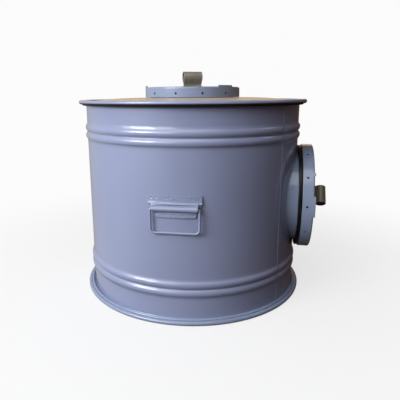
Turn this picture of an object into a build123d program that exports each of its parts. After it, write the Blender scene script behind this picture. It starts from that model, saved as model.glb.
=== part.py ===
from build123d import *
import math
import os

# Dust filter drum: a sheet steel drum with swaged beads and rolled rims,
# one capped air spigot in the lid and one in the side, and two bail handles.
# Millimetres, +Z up. The origin is the middle of the drum on the floor.
# The front handle faces close to -Y and the side spigot points along +X.

# Drum shell
drum_radius = 250.0
drum_height = 447.0
sheet = 2.0
flange_depth = 10.0
flange_bend = 4.0
flange_level = 7.4

# Swaged beads, two near each end
bead_height = 4.0
bead_width = 16.0
bead_pitch = 18.0
foot_bead_inset = 72.5
head_bead_inset = 69.5

# Rolled rims that clinch the ends onto the drum
rim_overhang = 16.0
rim_roll = 4.7
rim_flat = 0.4
lip_roll = 2.7
lip_inset = 3.6
lip_rise = 1.8

# Lap seam up the side of the drum
seam_azimuth = 58.0
seam_lap = 24.0
seam_sheet = 0.9

# Bottom plate, with a stiffening bead under the edge of the filter cartridge
plate_bead_inset = 18.0
plate_bead_width = 18.0
plate_bead_height = 3.0

# Lid, arched up from its seat in the rim to a flat middle round the spigot
crown_inset = 4.0
crown_rise = 7.6
crown_margin = 28.5

# Air spigots
spigot_sheet = 2.0
weld_leg = 2.0
guard_sheet = 2.0
guard_hole = 12.0
guard_pitch = 19.0
top_spigot_radius = 96.5
top_spigot_rise = 19.6
top_spigot_depth = 19.2
side_spigot_radius = 105.5
side_spigot_reach = 29.8
side_spigot_depth = 28.0
side_spigot_level = 222.0

# Rubber collars on the spigots
collar_start = 1.5
collar_wall = 13.4
collar_proud = 1.2

# Caps: a ring with a skirt, a dished disc and a pull loop
cap_sheet = 1.5
top_cap_skirt = 23.0
side_cap_skirt = 24.5
cap_shoulder = 3.5
cap_clearance = 0.5
cap_face_width = 20.0
disc_sheet = 1.5
disc_dish = 3.0
cap_hole = 5.0
cap_hole_count = 12
cap_hole_drop = 14.2
tab_count = 3
tab_angle = 22.0
tab_rise = 3.0
tab_turn = -63.3
nub_angle = 3.4
nub_turn = -34.0
nub_rise = 2.0
top_cap_turn = 25.0
side_cap_turn = 2.7

# Pull loops: a strap bent round a bulb, pinched at its neck
strap_width = 44.0
strap_sheet = 1.6
bulb_radius = 12.0
strap_foot = 14.0
neck_gap = 1.0
neck_below_bulb = 4.2
top_loop_height = 36.0
top_loop_turn = 25.0
side_loop_height = 37.5
side_loop_turn = 53.0

# Handles: a stamped saddle welded on the drum and a wire bail in its sleeve
saddle_sheet = 1.5
handle_level = 242.0
handle_turn = 2.6
upper_flange_angle = 24.4
upper_flange_height = 14.0
upper_flange_gap = 12.5
flange_chamfer = 3.0
ridge_angle = 23.0
ridge_step = 2.5
ridge_rise = 2.2
lower_flange_angle = 19.1
lower_flange_height = 11.3
lower_flange_gap = 6.2
sleeve_length = 91.0
sleeve_wrap = 0.7
sleeve_lap = 0.6
wire = 5.0
wire_play = 0.08
wire_standoff = 0.6
bail_width = 97.5
bail_drop = 48.5
bail_top_bend = 3.2
bail_bend = 9.0

# Filter cartridge inside, behind the guard screens
core_clearance = 34.0
core_headroom = 8.0

# Worked out from the sizes above
wall_inner = drum_radius - sheet
rim_radius = drum_radius + rim_overhang
rim_centre = rim_radius - rim_roll
rim_level = rim_roll - rim_flat
flange_edge = drum_radius + flange_depth
plate_level = flange_level - sheet
lip_level = flange_level + lip_rise
lid_seat = drum_height - flange_level + 2 * sheet
lid_face = lid_seat + crown_rise
crown_foot = drum_radius - crown_inset
crown_edge = top_spigot_radius + crown_margin
bead_pairs = [foot_bead_inset, drum_height - head_bead_inset]
seam_span = math.degrees(seam_lap / drum_radius)
top_end = lid_face + top_spigot_rise
top_root = lid_face - top_spigot_depth
side_end = drum_radius + side_spigot_reach
side_root = drum_radius - side_spigot_depth
core_radius = wall_inner - core_clearance
plate_bead_radius = core_radius - plate_bead_inset
core_top = top_root - core_headroom
upper_flange_foot = handle_level + upper_flange_gap
upper_flange_top = upper_flange_foot + upper_flange_height
lower_flange_top = handle_level - lower_flange_gap
lower_flange_foot = lower_flange_top - lower_flange_height
wire_offset = drum_radius + wire / 2 + wire_standoff
sleeve_bore = wire / 2 + wire_play
sleeve_radius = sleeve_bore + saddle_sheet


def save(shape, node):
    export_step(shape, "parts/" + node + ".step")


def ring_of(section, span=360.0):
    return revolve(section, Axis.Z, span)


def disc(radius, low, high):
    return Pos(0, 0, low) * Cylinder(radius, high - low, align=(Align.CENTER, Align.CENTER, Align.MIN))


def tube(outer, inner, low, high):
    return disc(outer, low, high) - disc(inner, low, high)


def upside_down(shape):
    return Pos(0, 0, drum_height) * Rot(180, 0, 0) * shape


def bead_side(radius, low, high):
    """The wall's line from low to high at one radius, bulging at each bead."""
    levels = [pair + side * bead_pitch / 2 for pair in bead_pairs for side in (-1, 1)]
    half = bead_width / 2
    edges = []
    at = low
    for level in levels:
        edges.append(Line((radius, at), (radius, level - half)))
        edges.append(ThreePointArc((radius, level - half), (radius + bead_height, level), (radius, level + half)))
        at = level + half
    edges.append(Line((radius, at), (radius, high)))
    return edges


def wall_strip(inner, outer):
    """A band of the wall between two radii, from bend to bend and over the beads."""
    low = flange_level + flange_bend
    high = drum_height - low
    edges = bead_side(outer, low, high) + bead_side(inner, low, high)
    edges.append(Line((inner, low), (outer, low)))
    edges.append(Line((inner, high), (outer, high)))
    return Plane.XZ * make_face(Curve() + edges)


def side_bore(radius):
    """A bar along +X through the wall, where the side spigot stands."""
    bar = Cylinder(radius, side_end, rotation=(0, 90, 0), align=(Align.CENTER, Align.CENTER, Align.MIN))
    return Pos(0, 0, side_spigot_level) * bar


def make_wall():
    return ring_of(wall_strip(wall_inner, drum_radius)) - side_bore(side_spigot_radius)


def make_flange():
    """The wall's foot, bent out through a quarter turn to a flat flange."""
    middle = drum_radius + flange_bend
    centre = flange_level + flange_bend
    spread = math.sqrt(0.5)
    edges = []
    for bend in (flange_bend, flange_bend + sheet):
        face = centre - bend
        edges.append(ThreePointArc((middle - bend, centre), (middle - bend * spread, centre - bend * spread),
                                   (middle, face)))
        edges.append(Line((middle, face), (flange_edge, face)))
    edges.append(Line((wall_inner, centre), (drum_radius, centre)))
    edges.append(Line((flange_edge, plate_level), (flange_edge, flange_level)))
    return ring_of(Plane.XZ * make_face(Curve() + edges))


def make_seam():
    """The outer sheet's lap, which follows the wall over its beads."""
    section = wall_strip(drum_radius, drum_radius + seam_sheet)
    return Rot(0, 0, seam_azimuth - 90) * ring_of(section, seam_span)


def make_rim():
    """The foot's rolled rim, open inwards round the flange and the plate."""
    section = Pos(rim_centre, rim_level) * Circle(rim_roll)
    section += Pos(drum_radius + lip_inset + lip_roll, lip_level) * Circle(lip_roll)
    slot_low = plate_level - sheet
    slot = Pos(0, slot_low) * Rectangle(flange_edge, flange_level - slot_low, align=(Align.MIN, Align.MIN))
    under = Rectangle(rim_radius, rim_roll, align=(Align.MIN, Align.MAX))
    return ring_of(Plane.XZ * (section - slot - under))


def make_plate():
    """The flat bottom plate with one swaged stiffening bead, seated in its rim."""
    low = plate_level - sheet
    half = plate_bead_width / 2

    def bow(level):
        start = (plate_bead_radius - half, level)
        crest = (plate_bead_radius, level + plate_bead_height)
        end = (plate_bead_radius + half, level)
        return ring_of(Plane.XZ * make_face(Curve() + [ThreePointArc(start, crest, end), Line(end, start)]))

    return disc(flange_edge, low, plate_level) + bow(plate_level) - bow(low)


def lid_side(level):
    """One face of the lid: flat in the rim, arched up, then flat round the spigot."""
    top = level + crown_rise
    span = crown_foot - crown_edge
    bow = (span ** 2 + crown_rise ** 2) / (2 * crown_rise)
    fall = bow - math.sqrt(bow ** 2 - span ** 2 / 4)
    return [
        Line((flange_edge, level), (crown_foot, level)),
        ThreePointArc((crown_foot, level), (crown_edge + span / 2, top - fall), (crown_edge, top)),
        Line((crown_edge, top), (top_spigot_radius, top)),
    ]


def make_lid():
    under = lid_seat - sheet
    edges = lid_side(lid_seat) + lid_side(under)
    edges.append(Line((flange_edge, under), (flange_edge, lid_seat)))
    edges.append(Line((top_spigot_radius, under + crown_rise), (top_spigot_radius, lid_face)))
    return ring_of(Plane.XZ * make_face(Curve() + edges))


def weld_ring(radius, level):
    """A small fillet weld round a spigot, on the face at this level."""
    corner = Polyline((radius, level), (radius + weld_leg, level), (radius, level + weld_leg), close=True)
    return ring_of(Plane.XZ * make_face(corner))


def make_guard(radius, low):
    """A perforated screen: one round plate with rows of staggered holes."""
    screen = disc(radius, low, low + guard_sheet)
    holes = []
    rows = int(radius / guard_pitch) + 1
    row_pitch = guard_pitch * math.sqrt(0.75)
    for row in range(-rows, rows + 1):
        shift = guard_pitch / 2 if row % 2 else 0.0
        for column in range(-rows, rows + 1):
            x = column * guard_pitch + shift
            y = row * row_pitch
            if math.hypot(x, y) < radius - guard_hole:
                holes.append(Pos(x, y, low + guard_sheet / 2) * Cylinder(guard_hole / 2, 2 * guard_sheet))
    return screen - holes


def make_collar(radius, low, high):
    """A rubber collar round a spigot's end, rounded at its two outer edges."""
    body = tube(radius + collar_wall, radius, low, high)
    rounded = body.edges().filter_by(GeomType.CIRCLE).group_by(SortBy.RADIUS)[-1]
    return fillet(rounded, collar_proud)


def cap_parts(collar_radius, cap_skirt, loop_height):
    """A cap's ring, disc and loop, with its face at z = 0 and its skirt below."""
    inner = collar_radius + cap_clearance
    outer = inner + cap_sheet
    lip = outer - cap_face_width

    bend = math.sqrt(0.5)
    hollow_bend = cap_shoulder - cap_sheet
    middle = outer - cap_shoulder
    profile = Curve() + [
        Line((inner, -cap_skirt), (outer, -cap_skirt)),
        Line((outer, -cap_skirt), (outer, -cap_shoulder)),
        ThreePointArc((outer, -cap_shoulder),
                      (middle + cap_shoulder * bend, cap_shoulder * bend - cap_shoulder), (middle, 0)),
        Line((middle, 0), (lip, 0)),
        Line((lip, 0), (lip, -cap_sheet)),
        Line((lip, -cap_sheet), (middle, -cap_sheet)),
        ThreePointArc((middle, -cap_sheet),
                      (middle + hollow_bend * bend, hollow_bend * bend - cap_shoulder), (inner, -cap_shoulder)),
        Line((inner, -cap_shoulder), (inner, -cap_skirt)),
    ]
    ring = ring_of(Plane.XZ * make_face(profile))

    def crown(span, rise, turn):
        low = -cap_shoulder
        section = Pos(inner, low) * Rectangle(cap_sheet, rise - low, align=(Align.MIN, Align.MIN))
        return Rot(0, 0, turn - span / 2) * ring_of(Plane.XZ * section, span)

    for tab in range(tab_count):
        turn = tab_turn + tab * 360 / tab_count
        ring += crown(tab_angle, tab_rise, turn)
        ring += crown(nub_angle, nub_rise, turn + nub_turn)
    drill = Pos(inner + cap_sheet / 2, 0, -cap_hole_drop) * Cylinder(cap_hole / 2, 2 * cap_sheet, rotation=(0, 90, 0))
    turns = [tab_turn + hole * 360 / cap_hole_count for hole in range(cap_hole_count)]
    ring -= [Rot(0, 0, turn) * drill for turn in turns]

    # The disc seats under the ring's face and is dished inside it.
    seat = -cap_sheet
    plate = disc(inner - cap_shoulder, seat - disc_sheet, seat)
    dish = Cone(lip - 2 * disc_dish, lip, disc_dish, align=(Align.CENTER, Align.CENTER, Align.MIN))
    floor = seat - disc_dish
    plate += Pos(0, 0, floor - disc_sheet) * dish
    plate -= Pos(0, 0, floor) * dish

    # The loop's feet stand on the dish, side by side under the bulb.
    centre = floor + strap_sheet + loop_height - bulb_radius + disc_dish
    half_neck = strap_sheet + neck_gap / 2
    neck_top = centre - bulb_radius - neck_below_bulb
    outline = Pos(0, centre) * Circle(bulb_radius) + teardrop(bulb_radius, centre, half_neck, neck_top)
    outline += Pos(0, floor) * Rectangle(2 * half_neck, neck_top - floor, align=(Align.CENTER, Align.MIN))
    outline += Pos(0, floor) * Rectangle(2 * strap_foot, strap_sheet, align=(Align.CENTER, Align.MIN))
    eye = bulb_radius - strap_sheet
    eye_gap = neck_gap / 2
    outline -= Pos(0, centre) * Circle(eye) + teardrop(eye, centre, eye_gap, neck_top)
    outline -= Pos(0, floor) * Rectangle(neck_gap, neck_top - floor, align=(Align.CENTER, Align.MIN))
    loop = extrude(Plane.YZ * outline, strap_width / 2, both=True)
    return ring, plate, loop


def teardrop(radius, centre, half_neck, neck_top):
    """The flanks that run from a bulb down to its neck, tangent to the bulb."""
    drop = centre - neck_top
    reach = math.hypot(drop, half_neck)
    lean = math.atan2(half_neck, drop)
    angle = math.acos(radius / reach) + lean
    touch = (radius * math.sin(angle), centre - radius * math.cos(angle))
    corners = [touch, (half_neck, neck_top), (-half_neck, neck_top), (-touch[0], touch[1])]
    return make_face(Polyline(*corners, close=True))


def plan_sector(inner, outer, span, level):
    """A flat band between two radii, centred on the front, at one level."""
    band = Circle(outer) - Circle(inner)
    half = math.radians(span / 2)
    reach = 2 * outer
    wedge = make_face(Polyline((0, 0), (-reach * math.sin(half), -reach * math.cos(half)),
                               (reach * math.sin(half), -reach * math.cos(half)), close=True))
    return Pos(0, 0, level) * (band & wedge)


def plan_bar(width, near, far, level):
    return Pos(0, -near, level) * Rectangle(width, far - near, align=(Align.CENTER, Align.MAX))


def flange_plate(span, foot, top, clipped_top):
    """A curved flange on the drum, with its two free corners clipped."""
    plate = extrude(plan_sector(drum_radius, drum_radius + saddle_sheet, span, foot), top - foot)
    ends = plate.faces().filter_by(Plane.XY).sort_by(Axis.Z)
    free = ends[-1] if clipped_top else ends[0]
    return chamfer(free.edges().filter_by(GeomType.LINE), flange_chamfer)


def make_saddle():
    """The stamped saddle: two curved flanges, a ridge and a straight sleeve."""
    flange_face = drum_radius + saddle_sheet
    step_inner = drum_radius + ridge_step
    step_outer = flange_face + ridge_step
    ridge_foot = upper_flange_foot - ridge_rise
    far = wire_offset + saddle_sheet

    upper = flange_plate(upper_flange_angle, upper_flange_foot, upper_flange_top, True)
    ridge = loft([plan_sector(drum_radius, flange_face, ridge_angle, upper_flange_foot).face(),
                  plan_sector(step_inner, step_outer, ridge_angle, ridge_foot).face()], ruled=True)
    web_foot = handle_level + sleeve_bore + sleeve_lap
    web = loft([plan_sector(step_inner, step_outer, ridge_angle, ridge_foot).face(),
                plan_bar(sleeve_length, far - saddle_sheet, far, web_foot).face()], ruled=True)
    round_part = Circle(sleeve_radius) - Circle(sleeve_bore)
    keep = Pos(sleeve_wrap, 0) * Rectangle(2 * sleeve_radius, 2 * sleeve_radius, align=(Align.MAX, Align.CENTER))
    hook = Plane.YZ * (Pos(-wire_offset, handle_level) * (round_part & keep))
    sleeve = extrude(hook, sleeve_length / 2, both=True)
    apron_top = handle_level - sleeve_bore - sleeve_lap
    apron = loft([plan_bar(sleeve_length, far - saddle_sheet, far, apron_top).face(),
                  plan_sector(drum_radius, flange_face, lower_flange_angle, lower_flange_top).face()], ruled=True)
    lower = flange_plate(lower_flange_angle, lower_flange_foot, lower_flange_top, False)
    return upper + ridge + web + sleeve + apron + lower


def make_bail():
    """The wire bail: a closed loop whose top side lies in the sleeve."""
    half = bail_width / 2
    low = handle_level - bail_drop
    corners = [(-half, -wire_offset, handle_level), (half, -wire_offset, handle_level),
               (half, -wire_offset, low), (-half, -wire_offset, low)]
    bends = [bail_top_bend, bail_top_bend, bail_bend, bail_bend]
    path = []
    spread = 1 - math.sqrt(0.5)
    marks = []
    for index, corner in enumerate(corners):
        before = Vector(*corners[index - 1])
        after = Vector(*corners[(index + 1) % 4])
        here = Vector(*corner)
        back = (before - here).normalized()
        ahead = (after - here).normalized()
        bend = bends[index]
        middle = here + (back + ahead) * bend * spread
        marks.append((here + back * bend, middle, here + ahead * bend))
    for index, (start, middle, end) in enumerate(marks):
        path.append(ThreePointArc(start, middle, end))
        path.append(Line(end, marks[(index + 1) % 4][0]))
    loop = Wire(Curve() + path)
    start = marks[0][2]
    section = Plane(origin=start, z_dir=(1, 0, 0)) * Circle(wire / 2)
    return sweep(section, path=loop)


def capped_spigot(radius, root, collar_foot, end, cap, loop):
    """An air spigot along +Z with its guard, collar and cap, as pieces by name."""
    skirt, ring_turn = cap
    loop_height, loop_turn = loop
    inner = radius - spigot_sheet
    ring, plate, strap = cap_parts(radius + collar_wall, skirt, loop_height)
    cap_place = Pos(0, 0, end + collar_proud + cap_sheet + disc_sheet)
    return {
        "spigot": tube(radius, inner, root, end),
        "guard": make_guard(inner, root),
        "collar": make_collar(radius, collar_foot, end + collar_proud),
        "cap_ring": cap_place * Rot(0, 0, ring_turn) * ring,
        "cap_disc": cap_place * plate,
        "cap_loop": cap_place * Rot(0, 0, loop_turn) * strap,
    }


os.makedirs("parts", exist_ok=True)

save(make_wall(), "drum_wall")
save(make_flange(), "bottom_flange")
save(upside_down(make_flange()), "top_flange")
save(make_seam(), "wall_seam")
save(make_rim(), "bottom_rim")
save(upside_down(make_rim()), "top_rim")
save(make_plate(), "bottom_plate")
save(make_lid(), "top_lid")
save(disc(core_radius, plate_level + plate_bead_height, core_top), "filter_core")
save(weld_ring(top_spigot_radius, lid_face), "top_spigot_weld")

# The lid's spigot stands along +Z, and the side one is built upright and laid along +X.
top_cap = (top_cap_skirt, top_cap_turn)
top_loop = (top_loop_height, top_loop_turn)
top_pieces = capped_spigot(top_spigot_radius, top_root, lid_face + weld_leg, top_end, top_cap, top_loop)
for node, piece in top_pieces.items():
    save(piece, "top_" + node)

side_cap = (side_cap_skirt, side_cap_turn)
side_loop = (side_loop_height, side_loop_turn)
side_foot = drum_radius + collar_start
side_pieces = capped_spigot(side_spigot_radius, side_root, side_foot, side_end, side_cap, side_loop)
across = Plane(origin=(0, 0, side_spigot_level), x_dir=(0, 1, 0), z_dir=(1, 0, 0))
for node, piece in side_pieces.items():
    save(across * piece, "side_" + node)

# Two handles, front and back, a little round from the square towards the side spigot
saddle = make_saddle()
bail = make_bail()
for name, turn in (("front", handle_turn), ("back", handle_turn + 180)):
    save(Rot(0, 0, turn) * saddle, name + "_saddle")
    save(Rot(0, 0, turn) * bail, name + "_bail")
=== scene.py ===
import math
import bmesh
import bpy
import numpy as np
from mathutils import Matrix, Vector


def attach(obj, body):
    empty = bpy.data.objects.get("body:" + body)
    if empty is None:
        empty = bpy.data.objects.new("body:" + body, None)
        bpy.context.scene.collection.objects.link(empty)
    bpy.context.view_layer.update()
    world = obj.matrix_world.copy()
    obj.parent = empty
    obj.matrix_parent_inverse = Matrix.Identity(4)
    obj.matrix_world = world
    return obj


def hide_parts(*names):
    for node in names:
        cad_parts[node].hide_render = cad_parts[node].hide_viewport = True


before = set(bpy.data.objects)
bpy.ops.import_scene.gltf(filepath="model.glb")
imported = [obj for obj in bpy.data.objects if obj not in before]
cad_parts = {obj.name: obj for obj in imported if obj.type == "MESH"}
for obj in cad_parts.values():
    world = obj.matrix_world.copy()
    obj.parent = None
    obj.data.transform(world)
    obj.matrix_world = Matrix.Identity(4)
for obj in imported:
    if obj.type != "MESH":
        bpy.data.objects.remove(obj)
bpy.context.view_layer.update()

MM = 0.001

# The drum's shell, with the sizes of the solids in metres
WALL = 250.0 * MM
TALL = 447.0 * MM
SHEET = 2.0 * MM
FLANGE_EDGE = WALL + 10.0 * MM
FLANGE_LEVEL = 7.4 * MM
FLANGE_BEND = 4.0 * MM
BEAD_RISE = 4.0 * MM
BEAD_HALF = 8.0 * MM
BEAD_LEVELS = [63.5 * MM, 81.5 * MM, 368.5 * MM, 386.5 * MM]
RIM_ROLL = 4.7 * MM
RIM_CENTRE = WALL + 16.0 * MM - RIM_ROLL
RIM_LEVEL = RIM_ROLL - 0.4 * MM
LIP_ROLL = 2.7 * MM
LIP_CENTRE = WALL + 3.6 * MM + LIP_ROLL
LIP_LEVEL = FLANGE_LEVEL + 1.8 * MM
PLATE_LEVEL = FLANGE_LEVEL - SHEET
PLATE_BEAD = 196.0 * MM
PLATE_BEAD_HALF = 9.0 * MM
PLATE_BEAD_RISE = 3.0 * MM
LID_SEAT = TALL - FLANGE_LEVEL + 2 * SHEET

# The lid's crown, from its foot inside the rim to the flat round the spigot
CROWN_FOOT = WALL - 4.0 * MM
CROWN_RISE = 7.6 * MM
LID_FACE = LID_SEAT + CROWN_RISE

# The lap seam. Azimuths are in degrees from the front handle towards the side spigot
SEAM_AZIMUTH = 58.0
SEAM_LAP = 24.0 * MM
SEAM_STEP = 0.55 * MM
LAP_FADE = 0.45
SEAM_PINCH = 0.6
PINCH_AT = 0.8
PINCH_SPREAD = 1.9

# Spigots and their rubber collars
SPIGOT_SHEET = 2.0 * MM
SPIGOT_EDGE = 0.4 * MM
TOP_SPIGOT = 96.5 * MM
CROWN_EDGE = TOP_SPIGOT + 28.5 * MM
TOP_END = LID_FACE + 19.6 * MM
TOP_ROOT = LID_FACE - 19.2 * MM
SIDE_SPIGOT = 105.5 * MM
SIDE_ROOT = WALL - 28.0 * MM
SIDE_END = WALL + 29.8 * MM
SIDE_LEVEL = 222.0 * MM
COLLAR_WALL = 13.4 * MM
COLLAR_PROUD = 1.2 * MM
GROOVE_SHARES = (0.35, 0.68)
GROOVE_ROLL = 1.2 * MM
GROOVE_OUT = 0.6 * MM
TOP_COLLAR_FOOT = LID_FACE + 2.0 * MM
SIDE_COLLAR_FOOT = WALL + 1.5 * MM

# Caps: ring, tabs, nubs, drilled holes and strap loops, with their turns in degrees
CAP_SHEET = 1.5 * MM
TOP_SKIRT = 23.0 * MM
SIDE_SKIRT = 24.5 * MM
CAP_SHOULDER = 3.5 * MM
CAP_CLEARANCE = 0.5 * MM
CAP_FACE_WIDTH = 20.0 * MM
CAP_DISH = 3.0 * MM
CAP_SEAT = COLLAR_PROUD + 2 * CAP_SHEET
TOP_FACE = TOP_END + CAP_SEAT
SIDE_FACE = SIDE_END + CAP_SEAT
TOP_TURN = 25.0
SIDE_TURN = 2.7
TAB_COUNT = 3
TAB_TURN = -63.3
TAB_ANGLE = 22.0
TAB_RISE = 3.0 * MM
NUB_TURN = -34.0
NUB_ANGLE = 3.4
NUB_RISE = 2.0 * MM
HOLE_COUNT = 12
HOLE = 5.0 * MM
HOLE_DROP = 14.2 * MM
STRAP_WIDTH = 44.0 * MM
STRAP = 1.6 * MM
BULB = 12.0 * MM
STRAP_FOOT = 14.0 * MM
NECK_GAP = 1.0 * MM
TOP_LOOP = 36.0 * MM
SIDE_LOOP = 37.5 * MM
TOP_LOOP_TURN = 25.0
SIDE_LOOP_TURN = 53.0

# Handles: the stamped saddle, its sleeve and the wire bail
HANDLE_LEVEL = 242.0 * MM
HANDLE_TURN = math.radians(2.6)
SADDLE = 1.5 * MM
WIRE = 2.5 * MM
WIRE_OFFSET = 253.1 * MM
SLEEVE = 4.08 * MM
SLEEVE_HALF = 45.5 * MM
UPPER_HALF = math.radians(12.2)
LOWER_HALF = math.radians(9.55)
CHAMFER = 3.0 * MM
BAIL_HALF = 48.75 * MM
BAIL_DROP = 48.5 * MM
BAIL_TOP_BEND = 3.2 * MM
BAIL_BEND = 9.0 * MM

# Steps round a turned piece
ROUND = 384
SMALL_ROUND = 240


class Value:
    """A shader socket that takes part in plain arithmetic."""

    def __init__(self, graph, socket):
        self.graph = graph
        self.socket = socket

    def maths(self, operation, first, second):
        return self.graph.node("ShaderNodeMath", {"operation": operation}, {0: first, 1: second})

    def __add__(self, other):
        return self.maths("ADD", self, other)

    def __radd__(self, other):
        return self.maths("ADD", other, self)

    def __sub__(self, other):
        return self.maths("SUBTRACT", self, other)

    def __rsub__(self, other):
        return self.maths("SUBTRACT", other, self)

    def __mul__(self, other):
        return self.maths("MULTIPLY", self, other)

    def __rmul__(self, other):
        return self.maths("MULTIPLY", other, self)

    def __pow__(self, other):
        return self.maths("POWER", self, other)

    def between(self, low, high):
        """0 below low, 1 above high, smooth between them."""
        settings = {"interpolation_type": "SMOOTHSTEP"}
        inputs = {"Value": self, "From Min": low, "From Max": high}
        return self.graph.node("ShaderNodeMapRange", settings, inputs)


class Graph:
    """The nodes of one material or of the world."""

    def __init__(self, owner):
        owner.use_nodes = True
        self.tree = owner.node_tree
        self.tree.nodes.clear()

    def node(self, kind, settings=None, inputs=None, output=0):
        made = self.tree.nodes.new(kind)
        for name, setting in (settings or {}).items():
            setattr(made, name, setting)
        for name, value in (inputs or {}).items():
            socket = made.inputs[name]
            if isinstance(value, Value):
                self.tree.links.new(value.socket, socket)
            elif isinstance(value, tuple) and len(value) == 3 and socket.type == "RGBA":
                socket.default_value = (*value, 1.0)
            else:
                socket.default_value = value
        return Value(self, made.outputs[output]) if made.outputs else None

    def mix(self, amount, first, second):
        return self.node("ShaderNodeMix", {"data_type": "RGBA"}, {0: amount, 6: first, 7: second}, output=2)

    def place(self):
        return self.node("ShaderNodeTexCoord", output=3)

    def axes(self, vector):
        kind = "ShaderNodeSeparateXYZ"
        return [self.node(kind, None, {0: vector}, output=index) for index in range(3)]

    def noise(self, vector, scale, detail, roughness):
        inputs = {"Vector": vector, "Scale": scale, "Detail": detail, "Roughness": roughness}
        return self.node("ShaderNodeTexNoise", None, inputs)

    def stretched(self, vector, stretch):
        settings = {"operation": "MULTIPLY"}
        return self.node("ShaderNodeVectorMath", settings, {0: vector, 1: stretch})

    def bump(self, height, strength, distance, below=None):
        inputs = {"Height": height, "Strength": strength, "Distance": distance}
        if below is not None:
            inputs["Normal"] = below
        return self.node("ShaderNodeBump", None, inputs)

    def surface(self, inputs):
        shader = self.node("ShaderNodeBsdfPrincipled", None, inputs)
        self.node("ShaderNodeOutputMaterial", None, {"Surface": shader})


def material(name):
    made = bpy.data.materials.new(name)
    return made, Graph(made)


# Colours of the paint, of the dust and chips on it, of the painted tan reflection on the lid, and of the
# painted shade in the crease under the head rim
PAINT = (0.256, 0.290, 0.442)
PAINT_PALE = (0.276, 0.310, 0.464)
PRIMER = (0.110, 0.105, 0.105)
DUST = (0.330, 0.335, 0.385)
# Colour of the painted reflection of the room's tan back wall, laid on the lid like settled dust
TAN_WALL_REFLECTION = (0.620, 0.430, 0.235)
# Colour of the painted shade in the crease under the head rim
CREASE_SHADE_COLOUR = (0.030, 0.016, 0.020)
CREASE_FOOT, CREASE_HEAD = TALL - 13.0 * MM, TALL - 4.6 * MM
CREASE_FADE_IN, CREASE_FADE_OUT = 2.5 * MM, 2.0 * MM


def enamel(name, tone=1.0, cyan=1.0, waviness=1.0, rub=0.35, tan_reflection=0.0, crease_shade=0.0, skin=0.04, gloss=1.0):
    """Gloss lavender-grey enamel under a clear skin, with orange peel, dust and rubbed edges.

    tone darkens the paint and cyan greens it. waviness is how uneven the sheet lies, rub how chipped
    the paint is, the tan share how much painted reflection of the room's tan back wall is laid on like
    settled dust, and the crease share how dark the painted shade in the crease under the head rim is.
    skin is the roughness of the clear coat and gloss its weight.
    """
    made, g = material(name)
    place = g.place()
    patches = g.noise(place, 6.0, 3.0, 0.5)
    cloud = g.noise(place, 30.0, 4.0, 0.6)
    tint = (tone, tone * cyan, tone * (1.0 + cyan) / 2.0)
    low = tuple(channel * share for channel, share in zip(PAINT, tint))
    high = tuple(channel * share for channel, share in zip(PAINT_PALE, tint))
    colour = g.mix(patches.between(0.3, 0.7), low, high)
    dusty = cloud.between(0.55, 0.80) * 0.10
    colour = g.mix(dusty, colour, DUST)
    # Painted reflection: the tan of the room's back wall, which the lid mirrors at grazing angles, laid on in
    # cloudy patches like settled dust. It also roughens the paint
    if tan_reflection:
        colour = g.mix((0.70 + 0.30 * cloud.between(0.30, 0.70)) * tan_reflection, colour, TAN_WALL_REFLECTION)
    # Painted shade: a dark band on the wall and on the head rim's underside in the crease under the head rim,
    # where the rim's overhang shades them. The clear coat is thinned there, so it mirrors less
    level = g.axes(place)[2]
    above_foot = level.between(CREASE_FOOT, CREASE_FOOT + CREASE_FADE_IN)
    below_head = 1.0 - level.between(CREASE_HEAD - CREASE_FADE_OUT, CREASE_HEAD)
    shaded_crease = above_foot * below_head * crease_shade
    colour = g.mix(shaded_crease, colour, CREASE_SHADE_COLOUR)
    specks = g.noise(place, 520.0, 2.0, 0.5)
    chips = specks.between(0.765, 0.785) * patches.between(0.50, 0.62) * rub
    colour = g.mix(chips, colour, PRIMER)
    peel = g.noise(place, 480.0, 2.0, 0.5)
    dents = g.noise(place, 7.0, 2.0, 0.45)
    ripple = g.bump(dents, 0.22 * waviness, 0.004)
    normal = g.bump(peel, 0.03, 0.0006, ripple)
    roughness = 0.34 + 0.3 * tan_reflection + cloud * 0.06 + dusty + chips * 0.3 + shaded_crease * 0.4
    g.surface({"Base Color": colour, "Metallic": 0.0, "Roughness": roughness, "IOR": 1.45,
               "Coat Weight": gloss - shaded_crease * 0.9, "Coat Roughness": skin, "Coat IOR": 1.5, "Normal": normal})
    return made


def dull_plating(name):
    """Yellowed zinc plating on the pull loops, blotched, with darker drawn streaks."""
    made, g = material(name)
    place = g.place()
    blotches = g.noise(place, 70.0, 4.0, 0.6)
    drawn = g.noise(g.stretched(place, (1.0, 1.0, 8.0)), 160.0, 3.0, 0.6)
    colour = g.mix(blotches.between(0.35, 0.7), (0.248, 0.224, 0.164), (0.318, 0.288, 0.224))
    colour = g.mix(drawn.between(0.45, 0.75) * 0.3, colour, (0.150, 0.132, 0.100))
    g.surface({"Base Color": colour, "Metallic": 0.2, "Roughness": 0.30 + drawn * 0.16,
               "Normal": g.bump(drawn, 0.12, 0.0003)})
    return made


def black_rubber(name):
    """Moulded rubber with fine rings, bloom and dust."""
    made, g = material(name)
    place = g.place()
    cloud = g.noise(place, 55.0, 4.0, 0.6)
    grain = g.noise(place, 900.0, 2.0, 0.6)
    colour = g.mix(cloud.between(0.4, 0.75), (0.004, 0.004, 0.005), (0.014, 0.013, 0.012))
    g.surface({"Base Color": colour, "Roughness": 0.26 + cloud * 0.16, "Specular IOR Level": 0.3,
               "Normal": g.bump(grain, 0.1, 0.0002)})
    return made


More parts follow.
